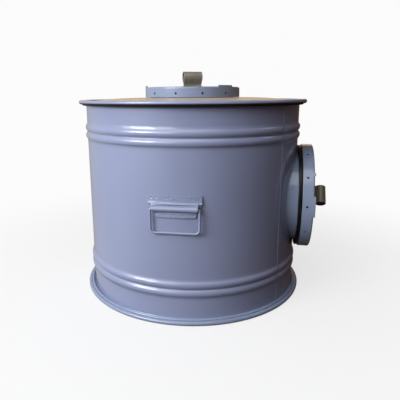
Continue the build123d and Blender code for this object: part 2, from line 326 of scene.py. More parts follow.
def plain_steel(name):
    """Zinc-bright perforated steel, brushed one way and lightly stained."""
    made, g = material(name)
    place = g.place()
    brush = g.noise(g.stretched(place, (1.0, 12.0, 12.0)), 240.0, 3.0, 0.7)
    stain = g.noise(place, 24.0, 4.0, 0.6)
    colour = g.mix(stain.between(0.45, 0.75), (0.42, 0.42, 0.41), (0.24, 0.22, 0.20))
    g.surface({"Base Color": colour, "Metallic": 0.9, "Roughness": 0.30 + brush * 0.18 + stain * 0.12,
               "Normal": g.bump(brush, 0.12, 0.0004)})
    return made


def filter_cloth(name):
    """Dark matted fibre with a fine weave."""
    made, g = material(name)
    place = g.place()
    fibres = g.noise(place, 700.0, 5.0, 0.7)
    lumps = g.noise(place, 60.0, 3.0, 0.6)
    colour = g.mix(fibres.between(0.35, 0.7), (0.020, 0.019, 0.018), (0.075, 0.072, 0.066))
    g.surface({"Base Color": colour, "Roughness": 0.95, "Normal": g.bump(fibres + lumps, 0.5, 0.001)})
    return made


# The drum and its rims carry the painted shade in the crease under the head rim
drum_paint = enamel("drum_enamel", crease_shade=1.0)
rim_paint = enamel("rim_enamel", tone=0.94, cyan=1.08, waviness=0.2, rub=0.8, crease_shade=1.0, skin=0.16)
# The lid carries the painted tan reflection of the room's back wall
lid_paint = enamel("lid_enamel", tone=1.0, waviness=0.2, rub=0.3, tan_reflection=0.85, skin=0.14, gloss=0.35)
cap_paint = enamel("cap_enamel", tone=0.86, cyan=1.09, waviness=0.4, rub=0.5)
handle_paint = enamel("handle_enamel", tone=0.98, cyan=1.03, waviness=0.2, rub=0.9)
plating = dull_plating("loop_zinc")
rubber = black_rubber("collar_rubber_black")
steel = plain_steel("guard_steel_bright")
cloth = filter_cloth("filter_cloth_dark")

for node, finish in (("top_guard", steel), ("side_guard", steel), ("filter_core", cloth)):
    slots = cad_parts[node].data.materials
    slots.clear()
    slots.append(finish)


def arc(centre, radius, start, end, steps):
    """Points on an arc in a section, by angle in degrees from the outward side towards up."""
    angles = np.radians(np.linspace(start, end, steps + 1))
    return [(centre[0] + radius * math.cos(a), centre[1] + radius * math.sin(a)) for a in angles]


# A fold is shaded sharp from this angle on, in degrees, where its piece gives no angle of its own
SHARP_FOLD = 32.0


def object_from(name, vertices, faces, finish, where=None, crease=SHARP_FOLD, closed=True):
    """A piece from its vertices and faces, moved by where. A closed one gets its faces turned outward."""
    mesh = bpy.data.meshes.new(name)
    mesh.from_pydata([tuple(v) for v in vertices], [], [tuple(f) for f in faces])
    if closed:
        outward = bmesh.new()
        outward.from_mesh(mesh)
        bmesh.ops.recalc_face_normals(outward, faces=outward.faces)
        outward.to_mesh(mesh)
        outward.free()
    if where is not None:
        mesh.transform(where)
    mesh.shade_smooth()
    mesh.set_sharp_from_angle(angle=math.radians(crease))
    mesh.materials.append(finish)
    made = bpy.data.objects.new(name, mesh)
    bpy.context.scene.collection.objects.link(made)
    return made


def grid_faces(rows, columns, close_rows=False, close_columns=False):
    """The faces between vertices that were added row by row."""
    faces = []
    for row in range(rows if close_rows else rows - 1):
        for column in range(columns if close_columns else columns - 1):
            a = row * columns + column
            b = row * columns + (column + 1) % columns
            c = ((row + 1) % rows) * columns + (column + 1) % columns
            d = ((row + 1) % rows) * columns + column
            faces.append((a, b, c, d))
    return faces


def lathe(name, section, finish, where=None, steps=ROUND):
    """Turns a closed section of (radius, height) points round the Z axis."""
    angles = np.linspace(0, 2 * math.pi, steps, endpoint=False)
    vertices = [(r * math.cos(a), r * math.sin(a), z) for a in angles for r, z in section]
    faces = grid_faces(steps, len(section), close_rows=True, close_columns=True)
    return object_from(name, vertices, faces, finish, where)


def pan(name, section, finish, where=None, steps=ROUND, crease=SHARP_FOLD):
    """Turns a section that starts and ends on the axis, so both its faces are whole discs."""
    angles = np.linspace(0, 2 * math.pi, steps, endpoint=False)
    ring = section[1:-1]
    count = len(ring)
    vertices = [(r * math.cos(a), r * math.sin(a), z) for a in angles for r, z in ring]
    faces = grid_faces(steps, count, close_rows=True)
    first = len(vertices)
    vertices += [(0.0, 0.0, section[0][1]), (0.0, 0.0, section[-1][1])]
    for step in range(steps):
        after = (step + 1) % steps
        faces.append((first, step * count, after * count))
        faces.append((first + 1, after * count + count - 1, step * count + count - 1))
    return object_from(name, vertices, faces, finish, where, crease)


def flip(section):
    """The same section turned upside down for the head of the drum."""
    return [(r, TALL - z) for r, z in section]


def front(azimuth):
    """The plan angle of an azimuth that is counted from the front handle towards the side spigot."""
    return math.radians(azimuth - 90.0)


# The wall's section: gap at the flanges' edges, height of a plain row, steps over a bead and a bend
FLANGE_GAP = 0.3 * MM
ROW_HEIGHT = 6.0 * MM
BEAD_STEPS = 12
BEND_STEPS = 8


def plain_rows(start, end):
    """Evenly spaced points of the plain wall between two heights, without the heights themselves."""
    rows = max(2, int((end - start) / ROW_HEIGHT))
    return [(WALL, start + (end - start) * step / rows, 0.0) for step in range(1, rows)]


def wall_line():
    """The outside of the wall from flange to flange, as (radius, height, part of a bead)."""
    bend = FLANGE_BEND
    foot = (WALL + bend, FLANGE_LEVEL + bend)
    line = [(FLANGE_EDGE - FLANGE_GAP, FLANGE_LEVEL, 0.0)]
    line += [(r, z, 0.0) for r, z in arc(foot, bend, 270, 180, BEND_STEPS)]
    bead_radius = (BEAD_HALF ** 2 + BEAD_RISE ** 2) / (2 * BEAD_RISE)
    half_angle = math.degrees(math.asin(BEAD_HALF / bead_radius))
    at = foot[1]
    for level in BEAD_LEVELS:
        line += plain_rows(at, level - BEAD_HALF)
        crest = (WALL + BEAD_RISE - bead_radius, level)
        for r, z in arc(crest, bead_radius, -half_angle, half_angle, BEAD_STEPS):
            line.append((WALL, z, r - WALL))
        at = level + BEAD_HALF
    head = (WALL + bend, TALL - FLANGE_LEVEL - bend)
    line += plain_rows(at, head[1])
    line += [(r, z, 0.0) for r, z in arc(head, bend, 180, 90, BEND_STEPS)]
    line.append((FLANGE_EDGE - FLANGE_GAP, TALL - FLANGE_LEVEL, 0.0))
    return line


def softened(line):
    """Rounds the two roots of each bead a little, as a swaging roller leaves them."""
    bulges = np.array([point[2] for point in line])
    smooth = bulges.copy()
    smooth[1:-1] = 0.2 * bulges[:-2] + 0.6 * bulges[1:-1] + 0.2 * bulges[2:]
    return [(r, z, max(0.0, b)) for (r, z, _), b in zip(line, smooth)]


def lap_at(azimuth):
    """How far the outer sheet stands proud beside the seam."""
    along = math.radians(azimuth - SEAM_AZIMUTH) * WALL
    if along <= 0 or along >= SEAM_LAP:
        return 0.0
    back = min(1.0, (SEAM_LAP - along) / (LAP_FADE * SEAM_LAP))
    return SEAM_STEP * back * back * (3 - 2 * back)


def pinch_at(azimuth):
    """The share of a bead's rise that is left near the seam, where two sheets lie on each other."""
    return 1.0 - SEAM_PINCH * math.exp(-((azimuth - SEAM_AZIMUTH - PINCH_AT) / PINCH_SPREAD) ** 2)


# The shell's grid: the patch round the side hole, and the columns on either side of the seam
HOLE_LEFT, HOLE_RIGHT = 63.6, 116.4
HOLE_MARGIN = 119.0 * MM
SEAM_RUN_UP = 2.0
SEAM_EDGE = 0.02
SHELL_COLUMNS, SEAM_COLUMNS, LAP_COLUMNS, HOLE_COLUMNS = 288, 8, 20, 60
HOLE_RINGS = 9
HOLE_EASE = 0.8
LAP_SHARE_ON_BENDS = 0.3


def shell_azimuths():
    """The azimuths of the shell's columns, once round, and the first column over the side hole.

    They start just past the hole and end on it, so all those from the full turn on are over 360.
    """
    seam = 360.0 + SEAM_AZIMUTH
    left, right = 360.0 + HOLE_LEFT, 360.0 + HOLE_RIGHT
    azimuths = list(np.linspace(HOLE_RIGHT, seam - SEAM_RUN_UP, SHELL_COLUMNS, endpoint=False))
    azimuths += list(np.linspace(seam - SEAM_RUN_UP, seam - SEAM_EDGE, SEAM_COLUMNS))
    azimuths += list(np.linspace(seam + SEAM_EDGE, left, LAP_COLUMNS, endpoint=False))
    first_column = len(azimuths)
    azimuths += list(np.linspace(left, right, HOLE_COLUMNS, endpoint=False))
    return azimuths, first_column


def drum_shell():
    """The rolled wall with its beads, its lap seam and a round hole for the side spigot."""
    line = softened(wall_line())
    rows = len(line)
    inside = [i for i, (_, z, _) in enumerate(line) if abs(z - SIDE_LEVEL) < HOLE_MARGIN]
    first_row, last_row = inside[0], inside[-1]
    azimuths, first_column = shell_azimuths()
    columns = len(azimuths)
    vertices = []
    for azimuth in azimuths:
        angle = front(azimuth)
        for r, z, bulge in line:
            lap_share = 1.0 if r <= WALL + 0.01 * MM else LAP_SHARE_ON_BENDS
            radius = r + bulge * pinch_at(azimuth - 360.0) + lap_at(azimuth - 360.0) * lap_share
            vertices.append((radius * math.cos(angle), radius * math.sin(angle), z))
    faces = []
    for column in range(columns):
        after = (column + 1) % columns
        for row in range(rows - 1):
            hole = column >= first_column and first_row <= row < last_row
            if not hole:
                here, beside = column * rows + row, after * rows + row
                faces.append((here, beside, beside + 1, here + 1))

    # The patch round the hole runs from the square edge of the grid in to the circle.
    last_column = first_column + HOLE_COLUMNS
    border = [(column, first_row) for column in range(first_column, last_column)]
    border += [(last_column, row) for row in range(first_row, last_row)]
    border += [(column, last_row) for column in range(last_column, first_column, -1)]
    border += [(first_column, row) for row in range(last_row, first_row, -1)]
    ring = [(column % columns) * rows + row for column, row in border]
    for step in range(1, HOLE_RINGS + 1):
        share = (step / HOLE_RINGS) ** HOLE_EASE
        next_ring = []
        for column, row in border:
            x, y, z = vertices[(column % columns) * rows + row]
            turn = math.atan2(z - SIDE_LEVEL, y)
            along = y + (SIDE_SPIGOT * math.cos(turn) - y) * share
            up = z + (SIDE_LEVEL + SIDE_SPIGOT * math.sin(turn) - z) * share
            next_ring.append(len(vertices))
            vertices.append((math.sqrt(WALL ** 2 - along ** 2), along, up))
        for index in range(len(border)):
            after = (index + 1) % len(border)
            faces.append((ring[index], ring[after], next_ring[after], next_ring[index]))
        ring = next_ring
    made = object_from("drum_shell", vertices, faces, drum_paint, crease=40.0, closed=False)
    solid = made.modifiers.new("sheet", "SOLIDIFY")
    solid.thickness = SHEET
    solid.offset = -1.0
    solid.use_even_offset = True
    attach(made, "drum")
    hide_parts("drum_wall", "wall_seam", "bottom_flange", "top_flange")


def rim_section():
    """The rolled rim at the foot: the big roll, the lip's small roll and the slot behind them."""
    roll, small = RIM_ROLL, LIP_ROLL
    big, little = (RIM_CENTRE, RIM_LEVEL), (LIP_CENTRE, LIP_LEVEL)
    flat = math.degrees(math.asin(RIM_LEVEL / roll))
    span = math.dist(big, little)
    towards = math.degrees(math.atan2(little[1] - big[1], little[0] - big[0]))
    cut_big = math.degrees(math.acos((span ** 2 + roll ** 2 - small ** 2) / (2 * span * roll)))
    cut_small = math.degrees(math.acos((span ** 2 + small ** 2 - roll ** 2) / (2 * span * small)))
    lip_foot = math.degrees(math.asin((LIP_LEVEL - FLANGE_LEVEL) / small))
    slot_low = PLATE_LEVEL - SHEET
    jaw = math.degrees(math.asin((RIM_LEVEL - slot_low) / roll))
    section = arc(big, roll, -flat, towards - cut_big, 28)
    section += arc(little, small, towards - 180 + cut_small, 180 + lip_foot, 14)[1:]
    section += [(FLANGE_EDGE, FLANGE_LEVEL), (FLANGE_EDGE, slot_low)]
    section += arc(big, roll, 180 + jaw, 180 + flat, 8)
    return section


def plate_section():
    """The foot plate with one stiffening bead, from the axis out along its underside and back."""
    low, high = PLATE_LEVEL - SHEET, PLATE_LEVEL
    radius = (PLATE_BEAD_HALF ** 2 + PLATE_BEAD_RISE ** 2) / (2 * PLATE_BEAD_RISE)
    half = math.degrees(math.asin(PLATE_BEAD_HALF / radius))
    under = arc((PLATE_BEAD, low + PLATE_BEAD_RISE - radius), radius, 90 + half, 90 - half, 12)
    over = arc((PLATE_BEAD, high + PLATE_BEAD_RISE - radius), radius, 90 - half, 90 + half, 12)
    edge = FLANGE_EDGE - 0.1 * MM
    return [(0.0, low)] + under + [(edge, low), (edge, high)] + over + [(0.0, high)]


def lid_section():
    """The lid: a flat seat in its rim, an arched crown and a flat middle round the spigot."""
    span = CROWN_FOOT - CROWN_EDGE
    bow = (span ** 2 + CROWN_RISE ** 2) / (2 * CROWN_RISE)
    lean = math.degrees(math.asin(span / bow))
    edge = FLANGE_EDGE - 0.1 * MM
    section = []
    for level in (LID_SEAT - SHEET, LID_SEAT):
        crown = arc((CROWN_EDGE, level + CROWN_RISE - bow), bow, 90, 90 - lean, 24)
        side = [(TOP_SPIGOT, level + CROWN_RISE)] + crown + [(edge, level)]
        section += side if level < LID_SEAT else side[::-1]
    return section


def dress(piece, body, slot, *nodes):
    """Puts a piece on its body, in the place of the CAD nodes it stands for; the slot is not used."""
    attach(piece, body)
    if nodes:
        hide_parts(*nodes)


def tube_section(outer, low, high):
    """A spigot's tube, with the edges of its open end broken."""
    inner, edge = outer - SPIGOT_SHEET, SPIGOT_EDGE
    outside = [(outer, low), (outer, high - edge), (outer - edge, high)]
    return outside + [(inner + edge, high), (inner, high - edge), (inner, low)]


def collar_section(radius, low, high):
    """A rubber collar with rounded ends and two shallow sealing grooves round it."""
    outer = radius + COLLAR_WALL
    soft = COLLAR_PROUD
    section = [(radius, low)]
    section += arc((outer - soft, low + soft), soft, -90, 0, 6)
    for share in GROOVE_SHARES:
        level = low + (high - low) * share
        section += arc((outer + GROOVE_OUT, level), GROOVE_ROLL, 210, 150, 6)
    section += arc((outer - soft, high - soft), soft, 0, 90, 6)
    section.append((radius, high))
    return section


# Lays a piece that was turned round Z along the side spigot's axis
across = Matrix(((0, 0, 1, 0), (1, 0, 0, 0), (0, 1, 0, SIDE_LEVEL), (0, 0, 0, 1)))


def cap_outline(outer, inner, lip, rise, drop):
    """The cap ring's section: rise is how far it stands above the face, or 0 at the plain shoulder."""
    middle = outer - CAP_SHOULDER
    shoulder = (middle, -CAP_SHOULDER)
    reach = math.degrees(math.acos((inner - middle) / CAP_SHOULDER))
    curl = 0.7 * MM
    skirt = arc((outer - curl, curl - drop), curl, -90, 0, 9)
    skirt += [(outer, -drop * 0.5), (outer, -CAP_SHOULDER - 0.2 * MM)]
    if rise:
        soft = 0.35 * MM
        crown = [(outer, -CAP_SHOULDER), (outer, rise - soft), (outer - soft, rise)]
        crown += [(inner + soft, rise), (inner, rise - soft)]
    else:
        crown = arc(shoulder, CAP_SHOULDER, 0, reach * 0.8, 4)
    over = arc(shoulder, CAP_SHOULDER, reach, 90, 5)
    bend = CAP_SHOULDER - CAP_SHEET
    under = arc(shoulder, bend, 90, 0, 5)
    hem = 0.4 * MM
    face = [(lip + hem, 0.0), (lip, -hem), (lip, -CAP_SHEET)]
    return skirt + crown + over + face + under + [(inner, -drop * 0.5), (inner, -drop)]


# The dish's two corners, broken by a narrow facet each: how far it reaches out and in, and its drop
LIP_FACET = (0.6 * MM, 0.8 * MM)
FLOOR_FACET = (0.8 * MM, 0.9 * MM)
FACET_DROP = 0.3 * MM

# Tabs and nubs on a cap's edge, by their rounded corners and the mesh columns at each end, in degrees
CAP_ROUND = 360
CORNER = 0.7
CORNER_FOOT = 0.62
EDGE_COLUMNS = (-0.01, 0.01, 0.3, CORNER)
CAP_CREASE = 35.0
DRILL_SIDES = 20
DRILL_REACH = 6.0 * MM


def raised_parts():
    """The tabs and nubs round a cap's edge, as (turn, half its angle, rise)."""
    raised = []
    for tab in range(TAB_COUNT):
        turn = TAB_TURN + tab * 360.0 / TAB_COUNT
        raised.append((turn, TAB_ANGLE / 2, TAB_RISE))
        raised.append((turn + NUB_TURN, NUB_ANGLE / 2, NUB_RISE))
    return raised


def rise_at(turn, raised):
    """How far the cap's edge stands above its face at a turn."""
    rise = 0.0
    for centre, half, top in raised:
        away = half - abs((turn - centre + 180) % 360 - 180)
        if away > 0:
            corner = min(1.0, away / CORNER)
            rounded = math.sqrt(max(0.0, 1 - (1 - corner) ** 2))
            rise = top * (CORNER_FOOT + (1.0 - CORNER_FOOT) * rounded)
    return rise


def drill_pegs(name, inner, outer):
    """One round peg through the skirt for each hole that is drilled in it."""
    vertices = []
    faces = []
    for hole in range(HOLE_COUNT):
        angle = math.radians(TAB_TURN + hole * 360.0 / HOLE_COUNT)
        out = Vector((math.cos(angle), math.sin(angle), 0.0))
        side = Vector((-math.sin(angle), math.cos(angle), 0.0))
        first = len(vertices)
        far = first + DRILL_SIDES
        for depth in (inner - DRILL_REACH, outer + DRILL_REACH):
            for spot in range(DRILL_SIDES):
                turn = 2 * math.pi * spot / DRILL_SIDES
                spoke = side * math.cos(turn) + Vector((0, 0, math.sin(turn)))
                vertices.append(out * depth + Vector((0, 0, -HOLE_DROP)) + spoke * HOLE / 2)
        for spot in range(DRILL_SIDES):
            after = (spot + 1) % DRILL_SIDES
            faces.append((first + spot, first + after, far + after, far + spot))
        faces.append(tuple(first + spot for spot in range(DRILL_SIDES - 1, -1, -1)))
        faces.append(tuple(far + spot for spot in range(DRILL_SIDES)))
    return object_from(name, vertices, faces, cap_paint)


def cap_ring(name, collar, drop, where):
    """A cap's ring: curled skirt, rounded shoulder, tabs and nubs, and a row of drilled holes."""
    inner = collar + CAP_CLEARANCE
    outer = inner + CAP_SHEET
    lip = outer - CAP_FACE_WIDTH
    raised = raised_parts()
    turns = list(np.linspace(0, 360, CAP_ROUND, endpoint=False))
    for centre, half, _ in raised:
        for side in (-1, 1):
            edge = centre + side * half
            turns += [(edge - side * inset) % 360 for inset in EDGE_COLUMNS]
    turns = sorted(set(round(turn, 4) for turn in turns))
    vertices = []
    for turn in turns:
        outline = cap_outline(outer, inner, lip, rise_at(turn, raised), drop)
        angle = math.radians(turn)
        vertices += [(r * math.cos(angle), r * math.sin(angle), z) for r, z in outline]
    faces = grid_faces(len(turns), len(outline), close_rows=True, close_columns=True)
    made = object_from(name, vertices, faces, cap_paint, crease=CAP_CREASE)

    pegs = drill_pegs(name + "_drill", inner, outer)
    cut = made.modifiers.new("holes", "BOOLEAN")
    cut.object = pegs
    cut.operation = "DIFFERENCE"
    cut.solver = "EXACT"
    bpy.context.view_layer.update()
    shaped = bpy.data.meshes.new_from_object(made.evaluated_get(bpy.context.evaluated_depsgraph_get()))
    made.modifiers.clear()
    made.data = shaped
    shaped.transform(where)
    shaped.shade_smooth()
    shaped.set_sharp_from_angle(angle=math.radians(CAP_CREASE))
    bpy.data.objects.remove(pegs)
    return made


def cap_disc(name, collar, where):
    """The cap's dished disc: a flat rim under the ring, a slope and the flat floor of the dish."""
    outer = collar + CAP_CLEARANCE + CAP_SHEET
    lip = outer - CAP_FACE_WIDTH
    rim = collar + CAP_CLEARANCE - CAP_SHOULDER
    seat = -CAP_SHEET
    floor = seat - CAP_DISH
    inside = lip - 2 * CAP_DISH
    section = [(0.0, floor - CAP_SHEET), (inside, floor - CAP_SHEET)]
    section += [(lip, seat - CAP_SHEET), (rim, seat - CAP_SHEET), (rim, seat)]
    section += [(lip + LIP_FACET[0], seat), (lip - LIP_FACET[1], seat - FACET_DROP)]
    section += [(inside + FLOOR_FACET[0], floor + FACET_DROP), (inside - FLOOR_FACET[1], floor)]
    section += [(inside * 0.5, floor), (0.0, floor)]
    return pan(name, section, cap_paint, where, SMALL_ROUND, crease=40.0)


# The strap's neck below the bulb's middle, in bulbs, and its bends
NECK_DROP = 1.35
NECK_RUN = 2.0 * MM
FOOT_BEND = 2.2 * MM
STRAP_SOFT = 0.45 * MM


def strap_loop(name, height, where):
    """The pull loop: one strap bent round a bulb, pinched at the neck, with two feet on the dish."""
    floor = -CAP_SHEET - CAP_DISH
    centre = floor + STRAP + height - BULB + CAP_DISH
    neck_top = centre - NECK_DROP * BULB
    half_neck = STRAP / 2 + NECK_GAP / 2
    middle = BULB - STRAP / 2
    drop = centre - neck_top
    lean = math.atan2(half_neck, drop)
    turn = math.acos(middle / math.hypot(drop, half_neck)) - lean
    touch = math.degrees(turn + 2 * lean)
    sole = floor + STRAP / 2
    path = [(STRAP_FOOT, sole)]
    path += arc((half_neck + FOOT_BEND, sole + FOOT_BEND), FOOT_BEND, 270, 180, 6)
    path += [(half_neck, neck_top - NECK_RUN), (half_neck + 0.1 * MM, neck_top)]
    path += arc((0.0, centre), middle, touch - 90, 90, 26)
    path += [(-x, z) for x, z in reversed(path[:-1])]
    points = np.array(path)
    ahead = np.gradient(points, axis=0)
    ahead /= np.linalg.norm(ahead, axis=1)[:, None]
    beside = np.stack([ahead[:, 1], -ahead[:, 0]], -1)
    # Round the strap: offset from its middle, which end, and whether the edge is drawn in there
    half, soft = STRAP / 2, STRAP_SOFT
    rim = [(half, -1, 1), (half, 1, 1), (half - soft, 1, 0), (-half + soft, 1, 0)]
    rim += [(-offset, -end, inset) for offset, end, inset in rim]
    vertices = []
    for point, side in zip(points, beside):
        for offset, end, inset in rim:
            spot = point + side * offset
            vertices.append((end * (STRAP_WIDTH / 2 - soft * inset), spot[0], spot[1]))
    count = len(rim)
    faces = grid_faces(len(points), count, close_columns=True)
    faces.append(tuple(range(count - 1, -1, -1)))
    faces.append(tuple((len(points) - 1) * count + i for i in range(count)))
    return object_from(name, vertices, faces, plating, where, crease=30.0)


# A weld bead: the sides of its section, and its ripples and slower swells by their size and pace
WELD_SIDES = 8
RIPPLE, RIPPLE_PACE = 0.16, 1.9
SWELL, SWELL_PACE = 0.08, 0.37


def weld_bead(name, points, radius, finish):
    """A closed bead of weld that follows a ring of points, with the ripple of the welder's hand."""
    count = len(points)
    centre = sum((Vector(p) for p in points), Vector()) / count
    vertices = []
    for index, point in enumerate(points):
        here = Vector(point)
        ahead = (Vector(points[(index + 1) % count]) - Vector(points[index - 1])).normalized()
        out = (here - centre).normalized()
        out = (out - ahead * out.dot(ahead)).normalized()
        up = ahead.cross(out)
        ripple = RIPPLE * math.sin(index * RIPPLE_PACE)
        size = radius * (1.0 + ripple + SWELL * math.sin(index * SWELL_PACE))
        for spot in range(WELD_SIDES):
            turn = 2 * math.pi * spot / WELD_SIDES
            vertices.append(here + (out * math.cos(turn) + up * math.sin(turn)) * size)
    faces = grid_faces(count, WELD_SIDES, close_rows=True, close_columns=True)
    return object_from(name, vertices, faces, finish, crease=60.0)


# The saddle's edges and ridge from the wire's level, and how far its crest and web stand off the flanges
SADDLE_TOP = HANDLE_LEVEL + 26.5 * MM
SADDLE_RIDGE = HANDLE_LEVEL + 10.0 * MM
LOWER_TOP = HANDLE_LEVEL - 6.2 * MM
SADDLE_FOOT = HANDLE_LEVEL - 17.5 * MM
CREST_RISE = 2.6 * MM
WEB_RISE = 0.6 * MM
SLEEVE_STEPS = 20


def saddle_profile():
    """Down the saddle's middle: (height, offset of its outer face, straightness, half width)."""
    face = WALL + SADDLE
    crest, web = face + CREST_RISE, face + WEB_RISE
    upper, lower = UPPER_HALF * face, LOWER_HALF * face
    shoulder = upper - 0.8 * MM
    start_turn = math.acos((web - WIRE_OFFSET) / SLEEVE)
    sleeve_top = HANDLE_LEVEL + SLEEVE * math.sin(start_turn)
    keys = [(SADDLE_TOP, face, 0.0, upper),
            (SADDLE_RIDGE + 4.0 * MM, face, 0.0, upper),
            (SADDLE_RIDGE + 1.9 * MM, web, 0.0, upper),
            (SADDLE_RIDGE + 0.6 * MM, crest - 0.4 * MM, 0.1, upper),
            (SADDLE_RIDGE, crest, 0.2, upper),
            (SADDLE_RIDGE - 0.6 * MM, crest - 0.5 * MM, 0.35, upper),
            (SADDLE_RIDGE - 1.5 * MM, web + 0.4 * MM, 0.7, upper - 0.6 * MM),
            (SADDLE_RIDGE - 2.4 * MM, web, 1.0, shoulder),
            (sleeve_top + 0.9 * MM, web, 1.0, shoulder),
            (sleeve_top + 0.2 * MM, web, 1.0, SLEEVE_HALF)]
    for turn in np.linspace(start_turn, -start_turn, SLEEVE_STEPS + 1):
        height = HANDLE_LEVEL + SLEEVE * math.sin(turn)
        keys.append((height, WIRE_OFFSET + SLEEVE * math.cos(turn), 1.0, SLEEVE_HALF))
    keys += [(LOWER_TOP + 0.6 * MM, web, 0.35, lower + 0.6 * MM),
             (LOWER_TOP, face + 0.1 * MM, 0.0, lower),
             (LOWER_TOP - 0.8 * MM, face, 0.0, lower),
             (SADDLE_FOOT, face, 0.0, lower)]
    return keys


# Spot welds: where each one lies across its flange, in degrees from the middle, and its height in mm
UPPER_WELDS = [(-10.8, 263.0), (-8.3, 264.2), (-3.6, 262.8), (-2.0, 265.0),
               (0.2, 259.6), (3.8, 263.0), (8.0, 262.6), (11.0, 261.6)]
LOWER_WELDS = [(-8.4, 231.6), (-4.6, 230.6), (-0.6, 230.2), (3.8, 230.4), (8.6, 230.0)]
WELD_RADIUS = 2.4 * MM
WELD_DEPTH = 0.55 * MM

# How far a spot weld's mark reaches, and the ring that it lifts round its dip, in radii of the weld
WELD_REACH = 1.8
LIFT_AT, LIFT_SPREAD = 1.25, 0.3
LIFT_SHARE = 0.25

# The saddle's mesh: rows and columns, the blend past the sleeve's ends, and the sheet's back and edges
SADDLE_GRID = 150
SLEEVE_BLEND = 1.2 * MM
SADDLE_BACK = 0.96
EDGE_ROUND = 0.25 * MM


def weld_dip(along, height):
    """How deep the saddle's face is pressed in at a place, or raised round a spot weld."""
    depth = 0.0
    for degrees, level in UPPER_WELDS + LOWER_WELDS:
        apart = math.hypot(along - math.radians(degrees) * WALL, height - level * MM)
        if apart < WELD_REACH * WELD_RADIUS:
            dip = math.exp(-(apart / WELD_RADIUS) ** 4)
            past_lift = (apart / WELD_RADIUS - LIFT_AT) / LIFT_SPREAD
            depth += WELD_DEPTH * (dip - LIFT_SHARE * math.exp(-past_lift ** 2))
    return depth


def saddle_mesh(name, turn):
    """The stamped saddle as one sheet, dense enough to carry its pressed spot welds."""
    keys = np.array(saddle_profile())
    walk = np.concatenate([[0], np.cumsum(np.hypot(np.diff(keys[:, 0]), np.diff(keys[:, 1])))])
    lengths = np.linspace(0, walk[-1], SADDLE_GRID)
    z, reach, straight, half = [np.interp(lengths, walk, keys[:, k]) for k in range(4)]
    vertices = []
    for row in range(SADDLE_GRID):
        near_end = min(SADDLE_TOP - z[row], z[row] - SADDLE_FOOT)
        width = half[row] - max(0.0, CHAMFER - max(0.0, near_end))
        for along in np.linspace(-width, width, SADDLE_GRID):
            angle = along / reach[row]
            curved = Vector((reach[row] * math.sin(angle), -reach[row] * math.cos(angle), z[row]))
            flat = Vector((along, -reach[row], z[row]))
            past_sleeve = min(1.0, max(0.0, (abs(along) - SLEEVE_HALF) / SLEEVE_BLEND))
            point = curved.lerp(flat, straight[row] * (1.0 - past_sleeve))
            point.y += weld_dip(along, z[row])
            vertices.append(point)
    faces = grid_faces(SADDLE_GRID, SADDLE_GRID)
    where = Matrix.Rotation(turn, 4, "Z")
    made = object_from(name, vertices, faces, handle_paint, where, crease=50.0, closed=False)
    solid = made.modifiers.new("sheet", "SOLIDIFY")
    solid.thickness = SADDLE * SADDLE_BACK
    solid.offset = -1.0
    edge = made.modifiers.new("edge", "BEVEL")
    edge.width = EDGE_ROUND
    edge.segments = 2
    edge.limit_method = "ANGLE"
    edge.angle_limit = math.radians(60)
    return made


WIRE_SIDES = 20


def bail_mesh(name, turn):
    """The wire bail: a closed loop of round wire with bends at its four corners."""
    half, low = BAIL_HALF, HANDLE_LEVEL - BAIL_DROP
    corners = [(half, HANDLE_LEVEL, BAIL_TOP_BEND), (half, low, BAIL_BEND)]
    corners += [(-half, low, BAIL_BEND), (-half, HANDLE_LEVEL, BAIL_TOP_BEND)]
    path = []
    for index, (x, z, bend) in enumerate(corners):
        start = 90 - 90 * index
        inner = (x - math.copysign(bend, x), z - math.copysign(bend, z - (HANDLE_LEVEL + low) / 2))
        path += arc(inner, bend, start, start - 90, 10)
        after = corners[(index + 1) % 4]
        end = Vector((x, z)).lerp(Vector(after[:2]), 0.5)
        path.append((end.x, end.y))
    count = len(path)
    vertices = []
    for index in range(count):
        here = Vector(path[index])
        ahead = (Vector(path[(index + 1) % count]) - Vector(path[index - 1])).normalized()
        side = Vector((ahead.y, -ahead.x))
        for spot in range(WIRE_SIDES):
            angle = 2 * math.pi * spot / WIRE_SIDES
            flat = here + side * math.cos(angle) * WIRE
            vertices.append((flat.x, -WIRE_OFFSET + math.sin(angle) * WIRE, flat.y))
    faces = grid_faces(count, WIRE_SIDES, close_rows=True, close_columns=True)
    return object_from(name, vertices, faces, handle_paint, Matrix.Rotation(turn, 4, "Z"), crease=60.0)


drum_shell()
dress(lathe("foot_rim", rim_section(), rim_paint), "drum", "shell_paint", "bottom_rim")
dress(lathe("head_rim", flip(rim_section()), rim_paint), "drum", "shell_paint", "top_rim")
dress(pan("foot_plate", plate_section(), rim_paint), "drum", "shell_paint", "bottom_plate")
dress(lathe("lid_plate", lid_section(), lid_paint), "drum", "shell_paint", "top_lid")

top_tube = tube_section(TOP_SPIGOT, TOP_ROOT, TOP_END)
side_tube = tube_section(SIDE_SPIGOT, SIDE_ROOT, SIDE_END)
top_collar = collar_section(TOP_SPIGOT, TOP_COLLAR_FOOT, TOP_END + COLLAR_PROUD)
side_collar = collar_section(SIDE_SPIGOT, SIDE_COLLAR_FOOT, SIDE_END + COLLAR_PROUD)
upright = Matrix.Identity(4)
for piece, section, finish, where, slot, node in (
        ("lid_spigot", top_tube, cap_paint, upright, "shell_paint", "top_spigot"),
        ("wall_spigot", side_tube, cap_paint, across, "shell_paint", "side_spigot"),
        ("lid_collar", top_collar, rubber, upright, "collar_rubber", "top_collar"),
        ("wall_collar", side_collar, rubber, across, "collar_rubber", "side_collar")):
    dress(lathe(piece, section, finish, where, SMALL_ROUND), "drum", slot, node)

